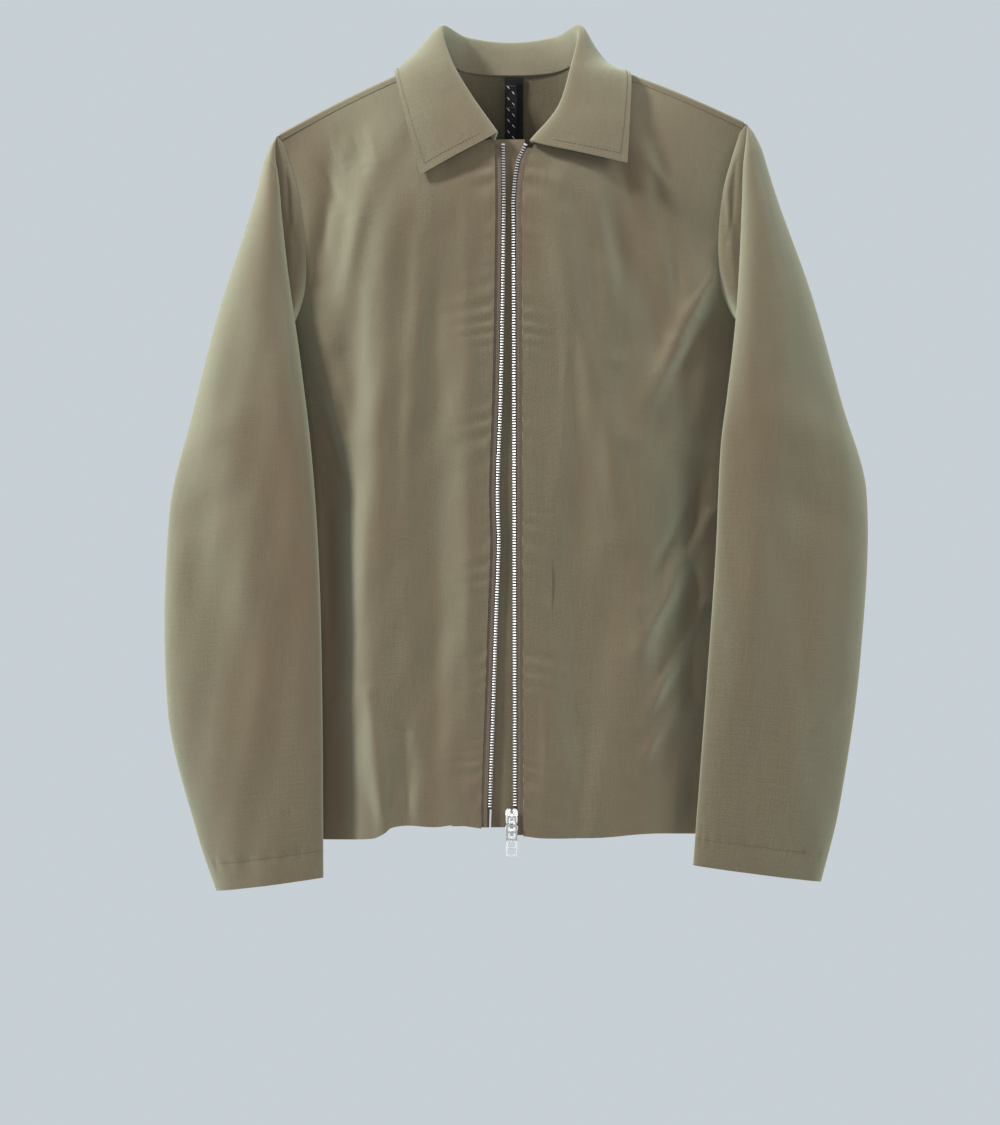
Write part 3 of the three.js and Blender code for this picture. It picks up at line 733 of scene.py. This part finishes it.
def sleevePoints(name, u, v, inset=0.0):
    side = sides[name]
    turn = u * 2 * np.pi
    p = slicePoint(side, turn, mix(sleeve["start"], 1, v), inset)
    p = mix(sleeveTop(side), p, np.sqrt(np.clip(v / 0.018, 0, 1))[..., None])
    s = side["sign"]
    x, z = np.abs(p[..., 0]), p[..., 2]
    facing = np.sin(turn)
    free = smooth(v / 0.1)
    push = (
        3.2 * np.sin(x * 75 + 3 * np.sin(z * 7 + s)) * np.sin(np.pi * np.clip(v, 0, 1))
        + 2.0 * np.sin(x * 38 + z * 14 * s + 1)
    )
    crease = 3.5 * np.exp(-(((z + 0.3 + 0.35 * (x - 0.2)) / 0.022) ** 2))
    crease -= 2.8 * np.exp(-(((z + 0.36 + 0.5 * (x - 0.2)) / 0.02) ** 2))
    elbow = 2.5 * np.exp(-(((z + 0.57 - 0.6 * (x - 0.3)) / 0.016) ** 2)) * smooth((x - 0.24) / 0.06)
    p[..., 1] -= facing * free * (push + crease * smooth((x - 0.21) / 0.05) + elbow) * mm * 0.8
    p[..., 1] -= facing * free * ripple(x, z, 11 + int(s), height=1.0)
    line = body["sleeveLength"] * (1 - v)
    around = u * 0.26
    pucker = np.sin(2 * np.pi * around / 0.0125 + 2 * np.sin(around * 60))
    near = np.exp(-(((line - sleeve["cuffDepth"] * mm) / 0.007) ** 2))
    p[..., 1] += facing * near * (0.8 + sleeve["pucker"] * pucker) * mm
    return p


for name, side in sides.items():
    u, v = np.meshgrid(
        np.linspace(0, 1, sleeve["around"], endpoint=False), np.linspace(0, 1, sleeve["rows"])
    )
    obj = clothOf(
        name + "Sleeve", sleevePoints(name, u, v), body["cloth"], closed=True, flip=(name == "right")
    )
    finishWith(
        obj, "cloth", name + "_sleeve", [f"{name}_{n}" for n in ("upper_sleeve", "under_sleeve")]
    )
    uh, vh = np.meshgrid(np.linspace(0, 1, sleeve["around"], endpoint=False), np.linspace(0.962, 0.998, 14))
    hem = clothOf(
        name + "CuffHem", sleevePoints(name, uh, vh, 1.6 * mm), 0.8 * mm, closed=True,
        flip=(name == "right")
    )
    finishWith(hem, "cloth", name + "_sleeve", [f"{name}_cuff_hem_{n}" for n in ("front", "back")])
    ut = np.linspace(0, 1, 500)[None, :]
    line = sleevePoints(name, ut, ut * 0 + 1 - sleeve["cuffDepth"] * mm / body["sleeveLength"])[0]
    centre = line.mean(0)
    away = line - centre
    away[:, 0] *= 0.12
    away[:, 2] = 0
    away /= np.linalg.norm(away, axis=1, keepdims=True)
    stitched = stitches(name + "CuffStitches", line + away * 0.45 * mm, away, radius=0.32)
    finishWith(stitched, "thread", name + "_sleeve")
    # the cloth between the armhole's seam and the sleeve's folded edge
    w, k = grid(30, 120)
    for part, reach, turned, sideY in (
        ("Front", panel["frontReach"], sleeve["frontTuck"], frontY),
        ("Back", panel["backReach"], sleeve["backTuck"], backY)
    ):
        seam = at(armhole(side, reach), k * 0.995)
        y = sideY(seam[..., 0], seam[..., 1])
        sign = 1 if part == "Front" else -1
        seam = np.stack(
            [seam[..., 0] - side["sign"] * 3 * mm * smooth(k / 0.05), y + sign * 1.3 * mm, seam[..., 1]], -1
        )
        t = np.clip((side["tipZ"] * mm - seam[..., 2]) / body["sleeveLength"], 0.03, 1)
        under = slicePoint(side, np.pi * turned + 0 * k, t)
        under = mix(sleeveTop(side), under, smooth(k / sleeve["joined"])[..., None])
        middle = mix(seam, under, 0.2)
        middle[..., 1] = mix(seam, under, 0.9)[..., 1] - sign * 2 * mm * np.sin(np.pi * k)
        w3 = w[..., None]
        strip = (1 - w3) ** 2 * seam + 2 * w3 * (1 - w3) * middle + w3**2 * under
        creased = folds(np.abs(strip[..., 0]), strip[..., 2], sleeve["tuckFolds"])
        strip[..., 1] -= sign * creased * np.sin(np.pi * w)
        tuck = clothOf(name + part + "Tuck", strip, body["cloth"], flip=(side["sign"] * sign < 0))
        finishWith(tuck, "cloth", None)
        low = k[:, 0] > 0.3
        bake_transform(tuck)
print("sleeves made")


collar = {
    "cols": 240,
    "rows": 60,
    "thickness": 2.2,
    "swell": 5,
}


def collarLines():
    def ring(part):
        return sides["right"][part] + collarBack[part] + sides["left"][part][::-1]

    def frontNeck(side):
        s = side["sign"]
        start = abs(float(edgeX(side, zipLine["top"])))
        spots = [
            (s * start, zipLine["top"] + 3 * mm), (s * 46 * mm, zipLine["top"] + 29 * mm),
            (s * 63 * mm, -7 * mm), (s * 71 * mm, 17 * mm)
        ]
        return [(a, float(frontY(np.array(a), np.array(b))) + 0.5 * mm, b) for a, b in spots]

    def backNeckSpot(a):
        return (
            a * mm, float(backY(np.array(a * mm), np.array(7 * mm))) - 1.8 * mm,
            mix(7, 14, (a / 72) ** 2) * mm - 1.5 * mm
        )

    base = (
        frontNeck(sides["right"]) + [backNeckSpot(a) for a in (-42, 0, 42)] + frontNeck(sides["left"])[::-1]
    )
    return spline(base), spline(np.array(ring("fold")) * mm), spline(np.array(ring("edge")) * mm)


collarBase, collarFold, collarEdge = collarLines()


def collarPoints(u, v):
    # v runs from the neck seam up the inside, over the fold and down to the outer edge
    base, fold, edge = at(collarBase, u), at(collarFold, u), at(collarEdge, u)
    out = fold * np.array([1, 1.6, 0])
    out /= np.linalg.norm(out, axis=-1, keepdims=True)
    up = np.array([0, 0, 1.0])
    keys = [
        base,
        mix(base, fold, 0.5) - out * 1.2 * mm,
        mix(base, fold, 0.88) - out * 1.2 * mm,
        fold + up * 1.2 * mm + out * 1.6 * mm,
        mix(fold, edge, 0.12) + out * 5.2 * mm,
        mix(fold, edge, 0.55) + out * (collar["swell"] + 1.5) * mm,
        edge + out * 2 * mm,
    ]
    places = np.array([0, 0.16, 0.3, 0.36, 0.44, 0.72, 1.0])
    q = [2 * keys[0] - keys[1], *keys, 2 * keys[-1] - keys[-2]]
    k = np.clip(np.searchsorted(places, v, side="right") - 1, 0, len(places) - 2)
    t = ((v - places[k]) / (places[k + 1] - places[k]))[..., None]
    stack = np.stack(q)
    take = lambda n: np.take_along_axis(stack, np.broadcast_to(n[None, ..., None], (1, *v.shape, 3)), 0)[0]
    a, b, c, d = take(k), take(k + 1), take(k + 2), take(k + 3)
    return 0.5 * (2 * b + (c - a) * t + (2 * a - 5 * b + 4 * c - d) * t**2 + (3 * b - a - 3 * c + d) * t**3)


u, v = grid(collar["cols"], collar["rows"])
points = collarPoints(u, v)
collarPiece = clothOf("collar", points, collar["thickness"] * mm, flip=True)
finishWith(
    collarPiece, "cloth",
    replaced=["upper_collar", "under_collar", "collar_interlining", "collar_stand"]
)


def surfaceLine(surface, u, v, step=0.002):
    p = surface(u, v)
    du = surface(np.clip(u + step, 0, 1), v) - surface(np.clip(u - step, 0, 1), v)
    dv = surface(u, np.clip(v + step, 0, 1)) - surface(u, np.clip(v - step, 0, 1))
    n = np.cross(du, dv)
    return p, n / np.linalg.norm(n, axis=-1, keepdims=True)


inset = {"side": 0.014, "edge": 0.052, "top": 0.47}
low, high = inset["side"], 1 - inset["side"]
corners = [(low, inset["top"]), (low, 1 - inset["edge"]), (high, 1 - inset["edge"]), (high, inset["top"])]
legs = zip(corners, corners[1:], (60, 500, 60))
trail = np.vstack([np.linspace(a, b, count)[:-1] for a, b, count in legs])
line, n = surfaceLine(collarPoints, trail[:, 0], trail[:, 1])
facing = np.sign(np.sum(n * np.array([0, -1, 0.3]), axis=1))[0]
n = n * facing
topstitch = stitches("collarStitches", line + n * (collar["thickness"] / 2 + 0.1) * mm, n, radius=0.3)
finishWith(topstitch, "thread")
print("collar made")


lap = {"front": 5.5, "back": 6, "lift": 0.9}
for name, side in sides.items():
    share, w = grid(120, 15)
    x = side["sign"] * mix(body["neckHalfWidth"] * 0.99, side["tipX"] * mm * 0.992, share)
    drop = np.where(w < 0.5, lap["front"] * (1 - 2 * w), lap["back"] * (2 * w - 1)) * mm
    z = shoulderZ(x) - drop
    y = np.where(
        w < 0.5, frontY(x, z) - lap["lift"] * mm * smooth((0.5 - w) * 6),
        backY(x, z) + lap["lift"] * mm * smooth((w - 0.5) * 6)
    )
    bulge = np.sin(np.pi * w)
    obj = clothOf(
        name + "ShoulderSeam", np.stack([x, y, z + lap["lift"] * bulge * mm], -1), 0.8 * mm,
        flip=(side["sign"] > 0)
    )
    finishWith(obj, "cloth")


teeth = {
    "height": 1.2,
    "thickness": 2.6,
    # place across the tooth, height share, thickness share
    "stations": [
        (-1.65, 0.78, 0.78), (-1.5, 1, 1), (-0.4, 1, 1.04), (0.6, 1, 1), (1.5, 0.94, 0.9), (1.68, 0.66, 0.6)
    ],
}


def toothMesh(name, centres, tangents, outward, scale=(1, 1, 1)):
    points, faces = [], []
    corner = [
        (
            math.copysign(abs(math.cos(a)) ** 0.5, math.cos(a)),
            math.copysign(abs(math.sin(a)) ** 0.5, math.sin(a))
        )
        for a in [math.pi / 8 + k * math.pi / 4 for k in range(8)]
    ]
    for centre, up in zip(centres, tangents):
        up = up / np.linalg.norm(up)
        depth = np.cross(up, outward)
        depth /= np.linalg.norm(depth)
        inward = -np.cross(depth, up)
        inward *= -np.sign(np.dot(inward, outward))
        base = len(points)
        for place, tall, deep in teeth["stations"]:
            for a, b in corner:
                points.append(
                    centre
                    + (
                        inward * place * scale[0] + up * a * tall * teeth["height"] / 2 * scale[1]
                        + depth * b * deep * teeth["thickness"] / 2 * scale[2]
                    ) * mm
                )
        flipped = np.dot(np.cross(up, depth), inward) < 0
        for ring in range(len(teeth["stations"]) - 1):
            for k in range(8):
                a, b = base + ring * 8 + k, base + ring * 8 + (k + 1) % 8
                quad = [a, b, b + 8, a + 8]
                faces.append(quad[::-1] if flipped else quad)
        caps = [
            [base + k for k in range(7, -1, -1)],
            [base + 8 * (len(teeth["stations"]) - 1) + k for k in range(8)]
        ]
        faces += [c[::-1] if flipped else c for c in caps]
    return meshOf(name, np.array(points), faces, sharp=38)


def stripPoints(side, z, outwards, deep):
    return np.stack([chainX(side, z) + side["sign"] * outwards, chainY(z) + deep, z], -1)


for name, side in sides.items():
    s = side["sign"]
    # the hem beside the zip
    edgeEnd = body["hem"] + float(along(hemShape[name], s * 26.0 if s < 0 else 12.0)) * mm
    zs = np.linspace(zipLine["top"] - 3 * mm, zipLine["end"], 900)
    chain = stripPoints(side, zs, 0 * zs, 0 * zs)
    steps = np.r_[0, np.cumsum(np.linalg.norm(np.diff(chain, axis=0), axis=1))]
    spots = np.arange(1.2 * mm, steps[-1] - 1 * mm, zipLine["pitch"])
    centres = sample(chain, steps, spots)
    tangents = sample(chain, steps, spots + 0.5 * mm) - sample(chain, steps, spots - 0.5 * mm)
    rail = toothMesh(name + "Teeth", centres, tangents, np.array([s, 0, 0.0]))
    finishWith(rail, "metal", replaced=[name + "_tooth_row"])
    stop = toothMesh(
        name + "TopStop", [stripPoints(side, np.array(zipLine["top"] - 1.2 * mm), 0, 0)], [tangents[0]],
        np.array([s, 0, 0.0]), (1.05, 1.6, 1.15)
    )
    finishWith(stop, "metal", replaced=[name + "_top_stop"])
    w, v = grid(9, 420)
    z = mix(zipLine["top"] - 4 * mm, edgeEnd + 1 * mm, v)
    sway = zipLine["sway"] * np.sin(z * 2 * np.pi / zipLine["swayPitch"]) * w
    spread = mix(0.4 * mm, zipLine["toothWidth"] / 2 + zipLine["tapeWidth"], w)
    strip = stripPoints(side, z, spread, sway)
    tape = clothOf(name + "Tape", strip, zipLine["tapeThickness"], flip=(s < 0))
    finishWith(tape, "tape", replaced=[name + "_zip_tape"])
    for row, out in enumerate((4.4, 6.9)):
        z = np.linspace(zipLine["top"] - 6 * mm, edgeEnd + 3 * mm, 1200)
        sway = zipLine["sway"] * np.sin(z * 2 * np.pi / zipLine["swayPitch"]) * (out - 0.4) / 14
        line = stripPoints(side, z, out * mm, -0.42 * mm + sway)
        forward = np.tile([0, -1.0, 0], (len(z), 1))
        sewn = stitches(f"{name}TapeStitches{row + 1}", line, forward, 1.9, 0.9, 0.2)
        finishWith(sewn, "brownThread")
    w, v = grid(24, 300)
    z = mix(zipLine["top"] - 6 * mm, edgeEnd + 2 * mm, v)
    spread = mix(zipLine["toothWidth"] / 2 + zipLine["tapeShown"], zipLine["facingWidth"], w)
    strip = stripPoints(side, z, spread, zipLine["facingDepth"])
    facing = clothOf(name + "Facing", strip, zipLine["facingThickness"], flip=(s < 0))
    finishWith(facing, "cloth", replaced=[name + "_front_facing"])

# in mm
guardShape = {"reach": 1, "sewnLimit": 3.4, "width": 29.65, "depth": 5.4, "wave": 0.5, "thickness": 1.6}
w, v = grid(24, 320)
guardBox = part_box("zip_guard")
z = mix(guardBox[1].z, guardBox[0].z + 3 * mm, v)
freeEdge = chainX(sides["left"], z) - guardShape["reach"] * mm
sewnEdge = np.minimum(chainX(sides["left"], z), guardShape["sewnLimit"] * mm) - guardShape["width"] * mm
x = mix(freeEdge, sewnEdge, w)
y = chainY(z) + guardShape["depth"] * mm + guardShape["wave"] * mm * np.sin(z * 40) * (1 - w)
guard = clothOf("zipGuard", np.stack([x, y, z], -1), guardShape["thickness"] * mm)
finishWith(guard, "cloth", replaced=["zip_guard"])

for which in ("upper", "lower"):
    slider = which + "_slider"
    refined(which + "SliderBody", slider + "_body", "pullMetal", slider, 0.35)
    refined(which + "SliderBridge", slider + "_bridge", "pullMetal", slider, 0.3)
    refined(which + "Pull", which + "_pull", "pullMetal", which + "_pull", 0.4)
refined("insertionPin", "insertion_pin", "metal", "garment", 0.4)
refined("retainerPin", "retainer_pin", "metal", "garment", 0.4)
print("zip made")


loop = {"width": 11, "length": 78, "bow": 8, "top": 4, "blackStripWidth": 17, "fleckPitch": 10.5, "fleck": 3}


def loopPoints(w, v, lift=0.0):
    x = mix(-loop["width"] / 2, loop["width"] / 2, w) * mm
    z = mix(loop["top"] - 2, loop["top"] - loop["length"], v) * mm
    bow = np.where(
        v > 0.15, loop["bow"] * np.maximum(0, np.sin(np.pi * smooth((v - 0.15) / 0.85))) ** 0.7, 0
    )
    y = backY(0 * x, z) - (6.2 + bow + lift) * mm
    return np.stack([x, y + 0.25 * mm * np.cos(w * np.pi * 2), z], -1)


w, v = grid(16, 180)
# a black strip behind the braid, wider than it, showing along the braid's right side
x = mix(-loop["width"] / 2, loop["blackStripWidth"] - loop["width"] / 2, w) * mm
z = mix(loop["top"], loop["top"] - loop["length"] - 4, v) * mm
backing = clothOf("loopBlackStrip", np.stack([x, backY(x, z) - 3.0 * mm, z], -1), 1.1 * mm)
finishWith(backing, "webbing", replaced=["hang_loop_backing"])
braid = clothOf("loopBraid", loopPoints(w, v), 1.4 * mm)
finishWith(braid, "webbing", replaced=["hang_loop"])
starts, ends = [], []
for column, sideways in enumerate((0.3, 0.72)):
    for k in range(8):
        place = (6 + k * loop["fleckPitch"] + column * loop["fleckPitch"] / 2) / loop["length"]
        a = np.array([sideways - 0.09, place])
        b = a + np.array([0.2, loop["fleck"] / loop["length"]])
        if b[1] < 0.98:
            starts.append(loopPoints(*a[:, None], 0.85)[0])
            ends.append(loopPoints(*b[:, None], 0.85)[0])
flecks = yarnBits("loopFlecks", starts, ends, [np.array([0, -1.0, 0])] * len(starts), 0.42)
finishWith(flecks, "fleck")
row = np.linspace(0.06, 0.94, 40)
for k, place in enumerate((0.08, 0.34)):
    line = loopPoints(row, row * 0 + place, 0.8)
    sewn = stitches(f"loopStitches{k + 1}", line, np.tile([0, -1.0, 0], (40, 1)), 1.6, 0.6, 0.3)
    finishWith(sewn, "brownThread")
print("loop made")

bpy.context.view_layer.update()


view = {
    "distance": 3.0,
    "lens": 85,
    "aim": (-9.9 * mm, 0, -443 * mm),
    "width": 0.9,
}
camera = bpy.data.objects.new("camera", bpy.data.cameras.new("camera"))
bpy.context.scene.collection.objects.link(camera)
camera.location = (view["aim"][0], -view["distance"] - 0.04, view["aim"][2])
camera.rotation_euler = (math.pi / 2, 0, 0)
camera.data.sensor_fit = "VERTICAL"
camera.data.lens = view["lens"]
camera.data.sensor_height = view["lens"] * view["width"] * 1.125 / view["distance"]
bpy.context.scene.camera = camera

light = {
    "key": ((-2.3, -1.5, 1.9), 0.5, 165),
    "fill": ((2.4, -1.6, 0.8), 1.2, 36),
    "front": ((-0.2, -3.4, -0.3), 0.6, 18),
    "back": ((0.3, 2.4, 1.2), 1.8, 22),
    "world": (0.62, 0.68, 0.72),
    "worldStrength": 0.92,
}
for name in ("key", "fill", "front", "back"):
    place, size, power = light[name]
    lamp = bpy.data.lights.new(name, "AREA")
    lamp.size, lamp.energy = size, power
    obj = bpy.data.objects.new(name, lamp)
    obj.location = place
    obj.rotation_euler = (Vector((0, 0, -0.35)) - Vector(place)).to_track_quat("-Z", "Y").to_euler()
    bpy.context.scene.collection.objects.link(obj)
bpy.context.scene.view_settings.view_transform = "Standard"
world = bpy.data.worlds.new("paleRoom")
bpy.context.scene.world = world
world.use_nodes = True
world.node_tree.nodes["Background"].inputs[0].default_value = (*light["world"], 1)
world.node_tree.nodes["Background"].inputs[1].default_value = light["worldStrength"]
room = {"reach": 1.6, "floor": -1.5}
corners = [
    (a * room["reach"], b * room["reach"], room["floor"]) for a, b in ((-1, -1), (1, -1), (1, 1), (-1, 1))
]
floor = meshOf("floor", corners, [[0, 1, 2, 3]])
floorFinish = Finish("paleFloor", Roughness=0.9)
cloudy = floorFinish.noise(floorFinish.place(), 3)
tone = floorFinish.mixColour(cloudy, (0.62, 0.66, 0.69), (0.58, 0.62, 0.66))
floor.data.materials.append(floorFinish.set(Base_Color=tone))
print("stage set")
